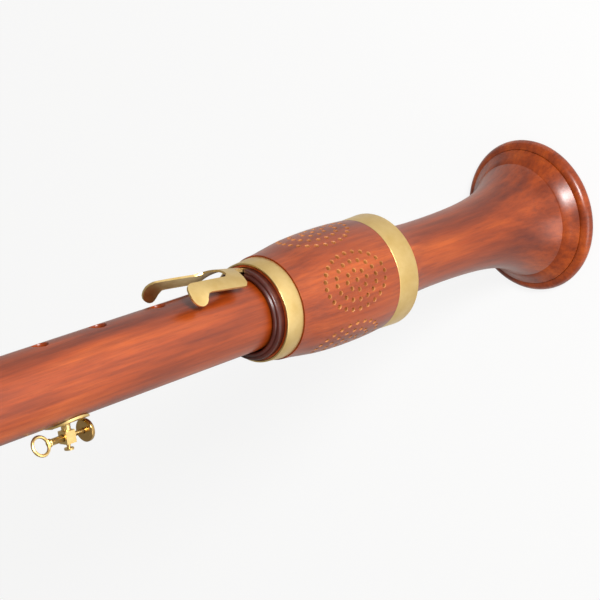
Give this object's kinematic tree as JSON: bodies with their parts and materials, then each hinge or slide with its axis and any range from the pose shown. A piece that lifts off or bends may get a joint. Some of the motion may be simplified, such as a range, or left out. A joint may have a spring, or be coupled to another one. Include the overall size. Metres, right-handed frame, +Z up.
{
  "type": "bass recorder",
  "caption": "Bass recorder in stained wood with brass rings, a pierced cover over a sprung two-lever key, a sliding thumb rest and a curved crook on a wind cap.",
  "frame": {"origin": "under the middle of the box, in the plane of the bell's end face", "axes": "+Z up the bore from the bell to the cap, -Y towards the finger holes, +Y towards the thumb hole"},
  "size_m": [0.0976, 0.1386, 1.0233],
  "materials": {
    "stained_maple": "oiled, red-brown stain",
    "dark_maple": "oiled, darker stain",
    "cedar": "bare",
    "brushed_brass": "brushed",
    "polished_brass": "polished",
    "blued_steel": "satin",
    "cork": "matt cork",
    "pad_leather": "matt",
    "dark_horn": "polished"
  },
  "bodies": {
    "root": {"body_joint": "stained_maple", "tenon_cork": "cork", "key_cover": "stained_maple", "cover_upper_ring": "brushed_brass", "cover_lower_ring": "brushed_brass", "cover_collar": "dark_maple", "touch_saddle": "brushed_brass", "pad_saddle": "brushed_brass", "touch_hinge_pin": "blued_steel", "pad_hinge_pin": "blued_steel", "touch_saddle_screw_lower": "blued_steel", "touch_saddle_screw_upper": "blued_steel", "pad_saddle_screw_lower": "blued_steel", "pad_saddle_screw_upper": "blued_steel", "thumb_rest_bracket": "brushed_brass", "thumb_plate_screw_lower": "blued_steel", "thumb_plate_screw_upper": "blued_steel"},
    "touch": {"touch_lever": "brushed_brass", "touch_spring": "blued_steel"},
    "pad": {"pad_lever": "brushed_brass", "key_pad": "pad_leather", "pad_spring": "blued_steel"},
    "thumb_rest": {"thumb_rod": "brushed_brass", "thumb_knob": "polished_brass"},
    "clamp_screw": {"thumb_clamp_screw": "brushed_brass"},
    "head": {"head_joint": "stained_maple", "head_ring": "brushed_brass", "fipple_block": "cedar"},
    "cap": {"wind_cap": "stained_maple", "wind_cap_ring": "brushed_brass", "crook_bush": "brushed_brass"},
    "crook": {"crook": "brushed_brass", "crook_cork": "cork", "crook_mouthpiece": "dark_horn"}
  },
  "joints": [
    {"name": "key_touch", "type": "hinge", "parent": "root", "child": "touch", "pos_m": [0, -0.04555, 0.243], "axis": [-1, 0, 0], "range_deg": [0, 7.6], "stiffness_Nm_per_rad": 0.08, "springref_deg": -20.05, "deforming": ["touch_spring"]},
    {"name": "key_pad_lever", "type": "hinge", "parent": "root", "child": "pad", "pos_m": [0, -0.04555, 0.218], "axis": [1, 0, 0], "range_deg": [0, 6.47]},
    {"name": "thumb_slide", "type": "slide", "parent": "root", "child": "thumb_rest", "axis": [0, 0, 1], "range_m": [-0.006, 0.006]},
    {"name": "clamp_turn", "type": "hinge", "parent": "root", "child": "clamp_screw", "pos_m": [0, 0, 0.4065], "axis": [0, 1, 0], "range_deg": [-90, 90]},
    {"name": "head_pull", "type": "slide", "parent": "root", "child": "head", "axis": [0, 0, 1], "range_m": [0, 0.008]},
    {"name": "cap_lift", "type": "slide", "parent": "head", "child": "cap", "axis": [0, 0, 1], "range_m": [0, 0.016]},
    {"name": "crook_turn", "type": "hinge", "parent": "cap", "child": "crook", "pos_m": [0, -0.02055, 0.96], "axis": [0, 0, 1], "range_deg": [-90, 90]}
  ],
  "couplings": [
    {"joint": "key_pad_lever", "follows": "key_touch", "ratio": 0.8511}
  ]
}
